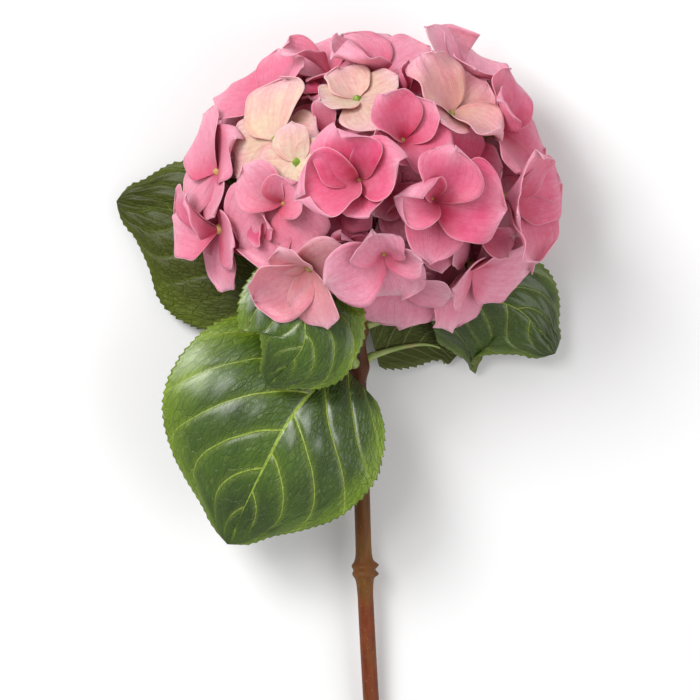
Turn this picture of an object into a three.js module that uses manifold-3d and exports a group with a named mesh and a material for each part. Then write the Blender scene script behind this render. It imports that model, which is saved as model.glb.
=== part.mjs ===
// A cut mophead hydrangea laid on its back on a table: one woody stem, five leaves, seven flower rays
// and a domed head of four-sepalled florets. Millimetres. X is across the head, Y runs up the stem
// towards the head, and Z is up from the table.
import * as THREE from "three";
import Module from "manifold-3d";

const wasm = await Module();
wasm.setup();

// ---- The head ----
const HEAD_HALF_WIDTH = 60; // from the head's middle to the outermost floret centres
const HEAD_HALF_HEIGHT = 48;
const HEAD_HALF_DEPTH = 44;
const BACK_STANDOFF = 9; // from the dome's back to the table that its sepals rest on
const LEAST_FACING = 0.55; // how far a floret at the head's edge still turns to the front

// ---- A floret ----
const SEPAL_LENGTH = 25; // an ordinary sepal, from the floret's middle to its rim
const SEPAL_THICKNESS = 0.8;
const SEPAL_SHOULDER_DEG = 31; // from a sepal's middle line to its widest part
const SHOULDER_REACH = 0.93; // shares of the sepal's length, measured from the floret's centre
const NOTCH_REACH = 0.68;
const MID_REACH = 0.52;
const BUD_RADIUS = 2.1;
const BUD_HEIGHT = 2.6;
const PEDICEL_RADIUS = 0.75;

// ---- The stem and the flower rays ----
const STEM_LENGTH = 261; // from the hub to the cut
const STEM_RADIUS = 3.6;
const BARE_NODE_DROP = 141; // the nodes' places, measured from the hub along the stem's run
const LOWER_NODE_DROP = 48;
const MIDDLE_NODE_DROP = 31;
const UPPER_NODE_DROP = 17;
const NODE_SWELL = 1.5; // a node's radius as a share of the stem's
const NODE_LENGTH = 9;
const CUT_SLANT = 1.0; // the oblique cut's run along the stem for each millimetre across it
const HUB_RADIUS = 6.5;
const RAY_RADIUS = 1.5;
const RAY_TIP_RADIUS = 2.6;

// ---- A leaf ----
const LEAF_THICKNESS = 1.2; // along the midrib, thinning to nothing at the margin
const PETIOLE_RADIUS = 2.1;

const CLEARANCE = 0.3; // between pieces that meet or lie against each other
const STEM_SIDES = 12;
const RAY_SIDES = 8;

const COLOURS = {
  bark: { color: 0x7a4a2e, roughness: 0.6 },
  ray: { color: 0x8fa65a, roughness: 0.55 },
  leaf: { color: 0x4a6b1f, roughness: 0.35 },
  sepal: { color: 0xe58aa8, roughness: 0.6 },
  youngSepal: { color: 0xf0cdc4, roughness: 0.6 },
};

const degrees = THREE.MathUtils.degToRad;
const point = (x, y, z) => new THREE.Vector3(x, y, z);

// ---- Closed skins ----

// A closed skin over rings of equal count, each anticlockwise as seen looking back from the last ring.
// The end caps meet at startTip and endTip, or at the end rings' centres.
function loft(rings, startTip, endTip) {
  const sides = rings[0].length;
  const corners = rings.flat();
  const faces = [];
  for (let r = 0; r + 1 < rings.length; r++) {
    for (let i = 0; i < sides; i++) {
      const a = r * sides + i;
      const b = r * sides + ((i + 1) % sides);
      faces.push(a, b, b + sides, a, b + sides, a + sides);
    }
  }
  const last = (rings.length - 1) * sides;
  const start = corners.push(startTip ?? centreOf(rings[0])) - 1;
  const end = corners.push(endTip ?? centreOf(rings.at(-1))) - 1;
  for (let i = 0; i < sides; i++) {
    const next = (i + 1) % sides;
    faces.push(start, next, i, end, last + i, last + next);
  }
  return new THREE.BufferGeometry().setFromPoints(corners).setIndex(faces);
}

function centreOf(ring) {
  const sum = ring.reduce((total, p) => total.add(p), new THREE.Vector3());
  return sum.divideScalar(ring.length);
}

// A ring of points about a centre, in the plane of two unit vectors.
function ringAt(centre, across, over, radius, sides) {
  return Array.from({ length: sides }, (_, i) => {
    const angle = (2 * Math.PI * i) / sides;
    return centre
      .clone()
      .addScaledVector(across, radius * Math.cos(angle))
      .addScaledVector(over, radius * Math.sin(angle));
  });
}

// Two unit vectors square to a direction, so that across, over and the direction are right-handed.
function squareTo(direction) {
  const helper = Math.abs(direction.z) < 0.9 ? point(0, 0, 1) : point(0, 1, 0);
  const across = new THREE.Vector3().crossVectors(helper, direction).normalize();
  const over = new THREE.Vector3().crossVectors(direction, across).normalize();
  return { across, over };
}

function solidOf(geometry) {
  const vertProperties = new Float32Array(geometry.getAttribute("position").array);
  const triVerts = new Uint32Array(geometry.index.array);
  return new wasm.Manifold(new wasm.Mesh({ numProp: 3, vertProperties, triVerts }));
}

function named(name, geometry, finish) {
  geometry.computeVertexNormals();
  const mesh = new THREE.Mesh(geometry, new THREE.MeshStandardMaterial(finish));
  mesh.name = name;
  return mesh;
}

// ---- The stem: from the oblique cut, up past the bare node and three leafy ones, to the hub ----

const tableLevel = -HEAD_HALF_DEPTH - BACK_STANDOFF;
// A point in the head, in shares of the dome's half width, height and depth.
const inHead = (a, b, c) => point(a * HEAD_HALF_WIDTH, b * HEAD_HALF_HEIGHT, c * HEAD_HALF_DEPTH);
const HUB = inHead(-0.067, -0.646, -0.295);
// A point under the stem's run, from its share of the length and its height off the table.
const onStem = (x, share, height) => point(x, HUB.y - share * STEM_LENGTH, tableLevel + height);
const stemLine = new THREE.CatmullRomCurve3([
  onStem(4.5, 1, STEM_RADIUS),
  onStem(0, 0.743, 8.5),
  onStem(-2.7, 0.54, 13),
  onStem(-4, 0.379, 18),
  onStem(-5.6, 0.188, 25),
  onStem(-5.8, 0.096, 31),
  HUB,
]);
const STEM_NODES = {
  bare: HUB.y - BARE_NODE_DROP,
  lower: HUB.y - LOWER_NODE_DROP,
  middle: HUB.y - MIDDLE_NODE_DROP,
  upper: HUB.y - UPPER_NODE_DROP,
};

function stemPointAt(y) {
  let low = 0;
  let high = 1;
  for (let i = 0; i < 30; i++) {
    const middle = (low + high) / 2;
    if (stemLine.getPointAt(middle).y < y) low = middle;
    else high = middle;
  }
  return stemLine.getPointAt(low);
}

function stemRadiusAt(y) {
  const swell = Object.values(STEM_NODES).reduce((most, node) => {
    const near = Math.exp(-(((y - node) / (NODE_LENGTH / 2)) ** 2));
    return Math.max(most, near);
  }, 0);
  return STEM_RADIUS * (1 + (NODE_SWELL - 1) * swell);
}

function stemGeometry() {
  const stations = 46;
  const rings = [];
  for (let s = 0; s <= stations; s++) {
    const share = s / stations;
    const centre = stemLine.getPointAt(share);
    const direction = stemLine.getTangentAt(share);
    const { across, over } = squareTo(direction);
    const ring = ringAt(centre, across, over, stemRadiusAt(centre.y), STEM_SIDES);
    // The first stations lean over towards the cut, which is an oblique plane.
    const lean = Math.max(0, 1 - share * 12) * CUT_SLANT;
    ring.forEach((p) => p.addScaledVector(direction, lean * p.clone().sub(centre).dot(over)));
    rings.push(ring);
  }
  const top = stemLine.getTangentAt(1);
  const { across, over } = squareTo(top);
  const hubTop = HUB.clone().addScaledVector(top, HUB_RADIUS);
  for (const [rise, girth] of [[0.3, 1], [0.8, 0.6]]) {
    const centre = HUB.clone().addScaledVector(top, HUB_RADIUS * rise);
    rings.push(ringAt(centre, across, over, HUB_RADIUS * girth, STEM_SIDES));
  }
  return loft(rings, undefined, hubTop);
}

// ---- The flower rays: from the hub out to the knuckles that the pedicels spring from ----

const RAY_TIPS = [
  inHead(-0.483, 0.063, 0.182),
  inHead(0.433, 0.063, 0.205),
  inHead(-0.217, 0.438, -0.091),
  inHead(0.233, 0.5, -0.091),
  inHead(-0.4, -0.104, -0.341),
  inHead(0.367, -0.104, -0.341),
  inHead(-0.033, -0.25, 0.364),
];

function rayGeometry(tip) {
  const out = tip.clone().sub(HUB).normalize();
  const foot = HUB.clone().addScaledVector(out, HUB_RADIUS + 1 + CLEARANCE);
  const knuckle = RAY_TIP_RADIUS;
  const { across, over } = squareTo(out);
  const girths = [
    [0, RAY_RADIUS],
    [0.45, RAY_RADIUS],
    [1 - (1.3 * knuckle) / foot.distanceTo(tip), RAY_RADIUS],
    [1 - (0.3 * knuckle) / foot.distanceTo(tip), knuckle],
    [1 + (0.5 * knuckle) / foot.distanceTo(tip), knuckle * 0.7],
  ];
  const rings = girths.map(([share, radius]) =>
    ringAt(foot.clone().lerp(tip, share), across, over, radius, RAY_SIDES),
  );
  return loft(rings, undefined, tip.clone().addScaledVector(out, knuckle));
}

// ---- A leaf: a petiole that opens into a blade, as one lofted skin ----

// node: the stem node that it grows from. petiole: the way from that node to the blade's base. length:
// from the blade's base to its tip. run: the rest of the midrib from the blade's base, in shares of the
// length. faces: the way the blade's upper side looks at its base and its tip. widths: the blade's two
// half widths, left and right of the midrib as seen from above with the tip away. foldDeg: how far each
// half rises from flat. arch: how far the margins droop, as a share of the half width.
const LEAVES = {
  leaf_front_large: {
    node: "lower",
    petiole: point(-5, 3, 14.8),
    length: 97.5,
    run: [point(-0.235, -0.246, 0.123), point(-0.385, -0.515, 0.103), point(-0.545, -0.85, -0.041)],
    faces: [point(0.05, 0.25, 1), point(-0.2, -0.3, 1)],
    widths: [46, 56],
    foldDeg: 5,
    arch: 0.12,
  },
  leaf_front_small: {
    node: "upper",
    petiole: point(-20.2, 14.5, 28.2),
    length: 57.5,
    run: [point(-0.061, -0.331, 0.122), point(-0.07, -0.645, 0.122), point(-0.34, -0.941, -0.035)],
    faces: [point(0, 0.1, 1), point(-0.1, -0.35, 1)],
    widths: [26, 29],
    foldDeg: 4,
    arch: 0.14,
  },
  leaf_left: {
    node: "middle",
    petiole: point(-27.2, 20, -3.4),
    length: 92,
    run: [point(-0.293, 0.196, -0.098), point(-0.598, 0.348, -0.152), point(-0.891, 0.402, -0.207)],
    faces: [point(-0.1, -0.2, 1), point(-0.35, 0.15, 1)],
    widths: [44, 32],
    foldDeg: 8,
    arch: 0.18,
  },
  leaf_right: {
    node: "middle",
    petiole: point(27.8, 8, -3.4),
    length: 65.5,
    run: [point(0.351, 0.061, 0.03), point(0.671, 0, -0.015), point(0.938, -0.305, -0.168)],
    faces: [point(0.1, -0.35, 1), point(0.35, -0.3, 1)],
    widths: [25, 38],
    foldDeg: -12,
    arch: 0.1,
  },
  leaf_right_under: {
    node: "lower",
    petiole: point(6.6, 4, -9.2),
    length: 39.5,
    run: [point(0.331, 0.102, -0.102), point(0.662, 0.127, -0.178), point(0.967, 0, -0.254)],
    faces: [point(0, 0.3, -1), point(0.1, 0.2, -1)],
    widths: [10, 24],
    foldDeg: 6,
    arch: 0.1,
  },
};
const LEAF_ACROSS = 8; // steps across the blade
const LEAF_ALONG = 11;

// A blade's half width along its midrib, as a share of its greatest: broad shoulders and a drawn tip.
function bladeShare(along) {
  return Math.sin(Math.PI * along ** 0.8) ** (0.55 + 0.6 * along ** 3);
}

function leafGeometry({ node, petiole, length, run, faces, widths, foldDeg, arch }) {
  const socket = stemPointAt(STEM_NODES[node]);
  const away = petiole.clone().normalize();
  const reach = stemRadiusAt(STEM_NODES[node]) * 1.25 + CLEARANCE;
  const foot = socket.clone().addScaledVector(away, reach);
  const base = socket.clone().add(petiole);
  const rest = run.map((share) => base.clone().addScaledVector(share, length));
  const midrib = new THREE.CatmullRomCurve3([foot, base, ...rest]);
  const bladeStart = foot.distanceTo(base) / midrib.getLength();

  // One ring: across the upper side from left to right, then back along the lower side.
  const ringFor = (share, halfWidths, thickness, round) => {
    const centre = midrib.getPointAt(share);
    const direction = midrib.getTangentAt(share);
    const along = Math.max(0, (share - bladeStart) / (1 - bladeStart));
    const looks = faces[0].clone().lerp(faces[1], along).normalize();
    const right = new THREE.Vector3().crossVectors(direction, looks).normalize();
    const up = new THREE.Vector3().crossVectors(right, direction).normalize();
    const at = (v, side) => {
      const width = v < 0 ? halfWidths[0] : halfWidths[1];
      const fold = degrees(foldDeg) * (round ? 0 : 1);
      const rise = Math.abs(v) * Math.sin(fold) - arch * v * v * (round ? 0 : 1);
      const skin = side * 0.5 * thickness * Math.sqrt(Math.max(0, 1 - v * v));
      return centre
        .clone()
        .addScaledVector(right, width * v * Math.cos(fold))
        .addScaledVector(up, width * rise + skin);
    };
    const steps = Array.from({ length: LEAF_ACROSS + 1 }, (_, i) => -1 + (2 * i) / LEAF_ACROSS);
    const spaced = round ? steps.map((v) => Math.sin((v * Math.PI) / 2)) : steps;
    const upper = spaced.map((v) => at(v, 1));
    const lower = spaced.slice(1, -1).reverse().map((v) => at(v, -1));
    return [...upper, ...lower];
  };

  const rings = [0, 0.5, 0.9].map((share) =>
    ringFor(share * bladeStart, [PETIOLE_RADIUS, PETIOLE_RADIUS], 2 * PETIOLE_RADIUS, true),
  );
  for (let i = 1; i <= LEAF_ALONG; i++) {
    const along = 0.985 * (i / LEAF_ALONG) ** 1.25 + 0.002;
    const share = bladeStart + along * (1 - bladeStart);
    const halfWidths = widths.map((width) => PETIOLE_RADIUS + (width - PETIOLE_RADIUS) * bladeShare(along));
    rings.push(ringFor(share, halfWidths, LEAF_THICKNESS, false));
  }
  return loft(rings, undefined, midrib.getPointAt(1));
}

// ---- Florets ----

// Hand-set places on the dome: at is in shares of its half width and half height, off is how far the
// floret stands off it, and spin is the turn of its first sepal in degrees. Its four sepals have
// their rise from flat in degrees and their lengths in shares of SEPAL_LENGTH. The first take their
// places first, and later ones fit in round and under them.
const FRONT_FLORETS = [
  { at: [-0.483, 0.146], off: 5, spin: 5, cups: [20, 25, 12, 15], lengths: [0.56, 0.64, 0.72, 0.6] },
  { at: [-0.1, 0.708], off: 2, spin: 30, cups: [15, 22, 25, 8], lengths: [0.84, 0.64, 0.72, 1.04] },
  { at: [-0.083, 0], off: 3, spin: 20, cups: [58, 56, 60, 54], lengths: [1.12, 1.08, 1.12, 1.04] },
  { at: [0.4, -0.146], off: 3, spin: -5, cups: [40, 54, 56, 20], lengths: [1.16, 1, 0.88, 1.12] },
  { at: [-0.417, -0.708], off: 3, spin: 12, cups: [14, 35, 10, 8], lengths: [0.96, 0.68, 1.12, 1.08] },
  { at: [-0.683, 0.375], off: 0, spin: 10, cups: [12, 15, 8, 20], lengths: [0.8, 1.04, 0.92, 0.6] },
  { at: [-0.533, -0.188], off: 0, spin: 35, cups: [30, 14, 6, 10], lengths: [0.72, 0.88, 1.2, 0.88] },
  { at: [0.083, -0.604], off: 2, spin: 20, cups: [24, 45, 18, 10], lengths: [0.92, 0.76, 1.04, 0.96] },
  { at: [0.55, 0.583], off: 2, spin: 30, cups: [24, 30, 26, 30], lengths: [1.04, 1, 0.88, 0.92] },
  { at: [0.867, 0.458], off: 2, spin: -20, cups: [20, 30, 34, 24], lengths: [1.16, 1.08, 0.88, 1] },
  { at: [0.217, 0.354], off: 0, spin: 45, cups: [36, 34, 38, 40], lengths: [0.96, 0.96, 0.96, 0.88] },
  { at: [0.933, -0.125], off: 2, spin: 20, cups: [40, 44, 44, 36], lengths: [1.12, 1.12, 1.04, 1.12] },
  { at: [0.717, -0.708], off: 2, spin: 10, cups: [26, 40, 30, 14], lengths: [1.08, 0.88, 1, 1.16] },
  { at: [0.05, 0.979], off: 0, spin: 30, cups: [22, 26, 20, 20], lengths: [1.08, 1.12, 1.04, 0.8] },
  { at: [0.667, 0.979], off: 0, spin: 40, cups: [20, 24, 26, 20], lengths: [1.04, 1.08, 0.96, 0.96] },
  { at: [-0.7, 0.812], off: 0, spin: 20, cups: [20, 24, 18, 14], lengths: [0.96, 1, 1.04, 0.88] },
  { at: [-1.12, 0.125], off: 0, spin: 30, cups: [16, 18, 14, 12], lengths: [0.96, 1.04, 1.08, 0.96] },
  { at: [-1.1, -0.292], off: 0, spin: 70, cups: [20, 16, 6, 14], lengths: [0.88, 1.04, 1.16, 0.88] },
  { at: [1.03, 0.167], off: 0, spin: 45, cups: [10, 16, 18, 14], lengths: [1.2, 1.08, 0.96, 1.04] },
  { at: [1.1, -0.5], off: -6, spin: 60, cups: [18, 22, 20, 14], lengths: [1.04, 1.04, 1.04, 1.08] },
  { at: [0.2, -0.99], off: 0, spin: 30, cups: [20, 26, 16, 12], lengths: [1, 0.88, 1, 1.04] },
  { at: [0.6, -1.2], off: -8, spin: 10, cups: [16, 24, 18, 8], lengths: [1, 0.8, 0.96, 1.08] },
  { at: [0.367, 1.25], off: -6, spin: 20, cups: [26, 30, 26, 22], lengths: [0.96, 1.04, 0.96, 0.88] },
  { at: [-0.4, 1.042], off: -3, spin: 50, cups: [24, 20, 22, 26], lengths: [1, 1.04, 1, 0.88] },
  { at: [-1.07, 0.56], off: -8, spin: 60, cups: [18, 20, 16, 20], lengths: [0.96, 1, 0.96, 0.88] },
  { at: [-0.833, -0.583], off: -2, spin: 20, cups: [18, 20, 14, 10], lengths: [0.92, 0.88, 1, 1] },
  { at: [0.9, -0.542], off: -4, spin: 50, cups: [30, 34, 30, 24], lengths: [1, 1, 1, 1] },
  { at: [1, 0.75], off: -4, spin: 10, cups: [18, 24, 26, 22], lengths: [1, 1, 0.96, 0.96] },
  { at: [-0.3, -0.333], off: -13, spin: 10, cups: [30, 40, 30, 20], lengths: [0.88, 0.88, 0.88, 0.88] },
  { at: [0.167, -0.125], off: -15, spin: 45, cups: [40, 40, 40, 40], lengths: [0.88, 0.88, 0.88, 0.88] },
  { at: [0.233, 0.792], off: -10, spin: 0, cups: [30, 40, 40, 30], lengths: [0.88, 0.88, 0.88, 0.88] },
  { at: [0.7, 0.125], off: -12, spin: 0, cups: [30, 40, 40, 30], lengths: [0.88, 0.88, 0.88, 0.88] },
  { at: [-0.333, 0.5], off: -12, spin: 0, cups: [30, 40, 40, 30], lengths: [0.88, 0.88, 0.88, 0.88] },
  { at: [0.467, -0.542], off: -12, spin: 30, cups: [30, 40, 40, 30], lengths: [0.88, 0.88, 0.88, 0.88] },
];
const YOUNG_FLORETS = ["floret_01", "floret_02", "floret_05", "floret_06", "floret_09"]; // still cream
const BACK_FLORETS = [
  { at: [-0.867, 0.333], spin: 10 },
  { at: [-0.5, 0.75], spin: 50 },
  { at: [0, 0.875], spin: 25 },
  { at: [0.5, 0.75], spin: 70 },
  { at: [0.9, 0.292], spin: 35 },
  { at: [-0.9, -0.292], spin: 60 },
  { at: [-0.433, 0.167], spin: 15 },
  { at: [0, 0.292], spin: 60 },
  { at: [0.433, 0.167], spin: 30 },
  { at: [0.9, -0.292], spin: 5 },
  { at: [-0.567, -0.5], spin: 80 },
  { at: [0.567, -0.5], spin: 45 },
];
const BACK_CUPS = [26, 30, 24, 28];
const BACK_LENGTHS = [1, 0.96, 1, 0.96];

// Where a floret sits and looks: on the dome, facing outwards, but never quite side-on.
function seatOnDome(across, up, side) {
  const depth = Math.sqrt(Math.max(0, 1 - across * across - up * up));
  const centre = inHead(across, up, side * depth);
  const looks = point(across, up, side * Math.max(depth, LEAST_FACING)).normalize();
  return { centre, looks };
}

// The rim of one sepal as seen from its floret's face: each step's turn from the sepal's middle line,
// and its reach as a share of the sepal's length.
const SEPAL_RIM = [
  { turn: -45, reach: NOTCH_REACH },
  { turn: -SEPAL_SHOULDER_DEG, reach: SHOULDER_REACH },
  { turn: 0, reach: 1 },
  { turn: SEPAL_SHOULDER_DEG, reach: SHOULDER_REACH },
];

function rimPoint(angle, run, cup, rise) {
  const slope = degrees(cup);
  const turn = degrees(angle);
  const out = run * Math.cos(slope);
  return point(out * Math.cos(turn), out * Math.sin(turn), run * Math.sin(slope) + rise);
}

// A floret in its own frame, with its face along +Z, as one skin from the pedicel's foot out along the
// underside of the sepals to the rim, and back in over their upper side to the bud.
function floretGeometry(lengths, cups, foot, extra = 0) {
  const half = SEPAL_THICKNESS / 2 + extra;
  const steps = [0, 1, 2, 3].flatMap((sepal) =>
    SEPAL_RIM.map(({ turn, reach }, i) => {
      const before = (sepal + 3) % 4;
      const cup = i === 0 ? (cups[sepal] + cups[before]) / 2 : cups[sepal];
      const length = i === 0 ? (lengths[sepal] + lengths[before]) / 2 : lengths[sepal];
      return { angle: sepal * 90 + turn, run: reach * length, cup };
    }),
  );
  const sheet = (share, side) =>
    steps.map((s) => rimPoint(s.angle, s.run * share + extra, s.cup, side * half));
  const collar = (radius, rise) => steps.map((s) => rimPoint(s.angle, radius, 0, rise));
  const down = foot.clone().normalize();
  const footRing = steps.map((s) => {
    const sideways = rimPoint(s.angle, 1, 0, 0);
    sideways.addScaledVector(down, -sideways.dot(down)).normalize();
    return foot.clone().addScaledVector(sideways, PEDICEL_RADIUS + extra);
  });
  const rings = [
    footRing,
    collar(2 * PEDICEL_RADIUS + extra, -half - 1.5),
    sheet(MID_REACH, -1),
    sheet(1, -1),
    sheet(1, 1),
    sheet(MID_REACH, 1),
    collar(BUD_RADIUS + extra, half + 0.4),
  ];
  const footTip = foot.clone().addScaledVector(down, 0.4 * PEDICEL_RADIUS);
  return loft(rings, footTip, point(0, 0, half + BUD_HEIGHT));
}

// One sepal alone, grown by the clearance, for finding how it can lie.
function sepalProbe(sepal, length, cup) {
  const half = SEPAL_THICKNESS / 2 + CLEARANCE;
  const ends = [...SEPAL_RIM, { turn: 45, reach: NOTCH_REACH }];
  const rings = ends.map(({ turn, reach }) => {
    const angle = sepal * 90 + turn;
    const inner = 0.12 * length;
    const outer = length * reach + CLEARANCE;
    return [
      rimPoint(angle, outer, cup, -half),
      rimPoint(angle, inner, cup, -half),
      rimPoint(angle, inner, cup, half),
      rimPoint(angle, outer, cup, half),
    ];
  });
  return loft(rings);
}

// The ways a floret may settle, nearest its own place first: in or out along its facing, sideways over
// the dome, turned on its pedicel, standing on the nearest ray or the next one, and full grown or less.
const LIFTS = [0, 3, -3, 6, -6, 10, -10, 14, 22, 32, 45];
const SLIDES = [[0, 0], [5, 0], [-5, 0], [0, 5], [0, -5], [6, 6], [-6, 6], [6, -6], [-6, -6]];
const TURNS = [0, 15, -15, 30];
const RAY_CHOICES = [0, 1];
const SHARES_GROWN = [1, 0.85, 0.7, 0.5];
const WAYS = LIFTS.flatMap((lift) =>
  SLIDES.flatMap((slide) =>
    TURNS.flatMap((turn) =>
      RAY_CHOICES.flatMap((choice) => SHARES_GROWN.map((grown) => ({ lift, slide, turn, choice, grown }))),
    ),
  ),
).sort((p, q) => costOf(p) - costOf(q));
// A sepal may lie higher or lower than it would like.
const SEPAL_SHIFTS = [0, 7, -7, 14, -14, 21, -21, 28, -28, 36, -36, 44, -44];
const LEAST_CUP = -25;
const MOST_CUP = 78;
const BUD_ALONE = [4, 4, 4, 4]; // sepal lengths of a floret tried as bud and pedicel only

function costOf({ lift, slide, turn, choice, grown }) {
  const moved = Math.abs(lift) + Math.hypot(...slide) / 2 + Math.abs(turn) / 8;
  return moved + choice * 2 + (1 - grown) * 60;
}

function isClear(geometry, placed) {
  geometry.computeBoundingBox();
  if (geometry.boundingBox.min.z < tableLevel) return false;
  const near = placed.filter((p) => p.box.intersectsBox(geometry.boundingBox));
  if (near.length === 0) return true;
  const probe = solidOf(geometry);
  return near.every((p) => probe.intersect(p.solid).volume() < 1e-6);
}

function footOn(centre, choice) {
  const tips = [...RAY_TIPS].sort((p, q) => p.distanceTo(centre) - q.distanceTo(centre));
  const out = centre.clone().sub(tips[choice]).normalize();
  return tips[choice].clone().addScaledVector(out, RAY_TIP_RADIUS + 0.4 * PEDICEL_RADIUS + CLEARANCE);
}

// A floret at one of its ways, or null where it would touch a piece that is there already.
function settle(floret, side, facing, looks, way, placed) {
  const lengths = floret.lengths.map((share) => share * SEPAL_LENGTH * way.grown);
  const across = floret.at[0] + way.slide[0] / HEAD_HALF_WIDTH;
  const up = floret.at[1] + way.slide[1] / HEAD_HALF_HEIGHT;
  const frame = new THREE.Object3D();
  frame.position.copy(seatOnDome(across, up, side).centre);
  frame.position.addScaledVector(looks, floret.off + way.lift);
  frame.quaternion.setFromRotationMatrix(facing);
  frame.rotateZ(degrees(floret.spin + way.turn));
  frame.updateMatrixWorld(true);
  const foot = frame.worldToLocal(footOn(frame.position, way.choice));
  const fits = (geometry) => isClear(geometry.applyMatrix4(frame.matrixWorld), placed);
  if (!fits(floretGeometry(BUD_ALONE, [0, 0, 0, 0], foot, CLEARANCE))) return null;
  const settled = [];
  for (let sepal = 0; sepal < 4; sepal++) {
    const tilt = SEPAL_SHIFTS.map((shift) => floret.cups[sepal] + shift)
      .filter((cup) => cup >= LEAST_CUP && cup <= MOST_CUP)
      .find((cup) => fits(sepalProbe(sepal, lengths[sepal], cup)));
    if (tilt === undefined) return null;
    settled.push(tilt);
  }
  if (!fits(floretGeometry(lengths, settled, foot, CLEARANCE))) return null;
  return { frame, geometry: floretGeometry(lengths, settled, foot) };
}

function layFloret(name, floret, side, placed) {
  const { looks } = seatOnDome(...floret.at, side);
  const helper = Math.abs(looks.y) < 0.95 ? point(0, 1, 0) : point(1, 0, 0);
  const right = new THREE.Vector3().crossVectors(helper, looks).normalize();
  const over = new THREE.Vector3().crossVectors(looks, right);
  const facing = new THREE.Matrix4().makeBasis(right, over, looks);
  let settled = null;
  for (let i = 0; settled === null; i++) {
    settled = settle(floret, side, facing, looks, WAYS[i], placed);
  }
  const shade = YOUNG_FLORETS.includes(name) ? COLOURS.youngSepal : COLOURS.sepal;
  const mesh = named(name, settled.geometry, shade);
  mesh.position.copy(settled.frame.position);
  mesh.quaternion.copy(settled.frame.quaternion);
  mesh.updateMatrix();
  return mesh;
}

// ---- The whole flower ----

const flower = new THREE.Group();
const placed = []; // the pieces so far, as solids, which later florets keep clear of
function add(mesh) {
  flower.add(mesh);
  const geometry = mesh.geometry.clone().applyMatrix4(mesh.matrix);
  geometry.computeBoundingBox();
  placed.push({ solid: solidOf(geometry), box: geometry.boundingBox });
}

add(named("stem", stemGeometry(), COLOURS.bark));
RAY_TIPS.forEach((tip, i) => add(named(`flower_ray_${i + 1}`, rayGeometry(tip), COLOURS.ray)));
for (const [name, leaf] of Object.entries(LEAVES)) add(named(name, leafGeometry(leaf), COLOURS.leaf));

const numbered = (stem, i) => `${stem}_${String(i + 1).padStart(2, "0")}`;
FRONT_FLORETS.forEach((floret, i) => add(layFloret(numbered("floret", i), floret, 1, placed)));
BACK_FLORETS.forEach((seat, i) => {
  const floret = { ...seat, off: 0, cups: BACK_CUPS, lengths: BACK_LENGTHS };
  add(layFloret(numbered("floret_back", i), floret, -1, placed));
});

// The origin is on the table, under the middle of the whole flower.
const bounds = new THREE.Box3().setFromObject(flower, true);
const middle = bounds.getCenter(new THREE.Vector3());
flower.position.set(-middle.x, -middle.y, -bounds.min.z);

export default flower;
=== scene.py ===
# A cut pink mophead hydrangea laid on its back on a pale table: quilted leaves, a brown woody stem with a
# slanting cut, pale green flower rays and a dome of four-sepalled florets. The seats of all of them are
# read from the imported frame.
import math

import bpy
import numpy as np
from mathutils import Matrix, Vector
from mathutils.bvhtree import BVHTree


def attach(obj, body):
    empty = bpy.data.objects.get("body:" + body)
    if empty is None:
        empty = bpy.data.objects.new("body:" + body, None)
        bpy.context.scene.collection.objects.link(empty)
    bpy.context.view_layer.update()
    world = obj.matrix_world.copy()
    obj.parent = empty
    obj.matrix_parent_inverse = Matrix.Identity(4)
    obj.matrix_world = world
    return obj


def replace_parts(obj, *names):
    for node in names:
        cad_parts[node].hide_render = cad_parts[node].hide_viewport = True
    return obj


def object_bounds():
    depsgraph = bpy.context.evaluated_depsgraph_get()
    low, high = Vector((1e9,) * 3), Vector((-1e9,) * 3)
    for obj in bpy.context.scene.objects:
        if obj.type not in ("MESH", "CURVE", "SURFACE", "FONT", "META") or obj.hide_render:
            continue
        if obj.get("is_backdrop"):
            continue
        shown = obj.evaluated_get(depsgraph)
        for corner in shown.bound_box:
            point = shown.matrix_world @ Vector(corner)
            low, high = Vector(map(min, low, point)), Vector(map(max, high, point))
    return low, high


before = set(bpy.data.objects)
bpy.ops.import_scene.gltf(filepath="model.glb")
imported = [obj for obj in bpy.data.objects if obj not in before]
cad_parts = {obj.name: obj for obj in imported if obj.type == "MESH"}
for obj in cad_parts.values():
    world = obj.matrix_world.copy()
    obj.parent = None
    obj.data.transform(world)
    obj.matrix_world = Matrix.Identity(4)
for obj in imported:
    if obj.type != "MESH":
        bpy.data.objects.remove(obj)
CAD_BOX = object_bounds()
MM = 0.001
TAU = 2 * math.pi
chance = np.random.default_rng(11)

# ---- Small geometry helpers ----


def unit(v):
    return v / np.linalg.norm(v)


def rings_of(node):
    """The rings of points that a CAD piece is lofted through, in step with one another, and its two poles."""
    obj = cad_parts[node]
    points = np.array([obj.matrix_world @ v.co for v in obj.data.vertices])
    welded, place = np.unique(np.round(points, 6), axis=0, return_inverse=True)
    place = place.ravel()
    near = [set() for _ in welded]
    for face in obj.data.polygons:
        corners = [int(place[i]) for i in face.vertices]
        for a, b in zip(corners, corners[1:] + corners[:1]):
            near[a].add(b)
            near[b].add(a)
    sides = max(len(n) for n in near)
    first, last = [i for i, n in enumerate(near) if len(n) == sides]
    seen, ring, rings = {first}, near[first], []
    while len(ring) == sides:
        order = [min(ring)]
        while len(order) < sides:
            order.append(next(n for n in sorted(near[order[-1]]) if n in ring and n not in order))
        rings.append(in_step(welded[order], rings[-1] if rings else None))
        seen |= ring
        ring = {n for i in ring for n in near[i]} - seen
    return welded[first], rings, welded[last]


def in_step(ring, before):
    """The ring started and turned so that its points lie nearest those of the ring before."""
    if before is None:
        return ring
    turned = [np.roll(way, k, axis=0) for way in (ring, ring[::-1]) for k in range(len(ring))]
    return min(turned, key=lambda r: ((r - before) ** 2).sum())


def runs(points):
    """How far each point of a path lies along it."""
    return np.concatenate([[0], np.cumsum(np.linalg.norm(np.diff(points, axis=0), axis=1))])


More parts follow.
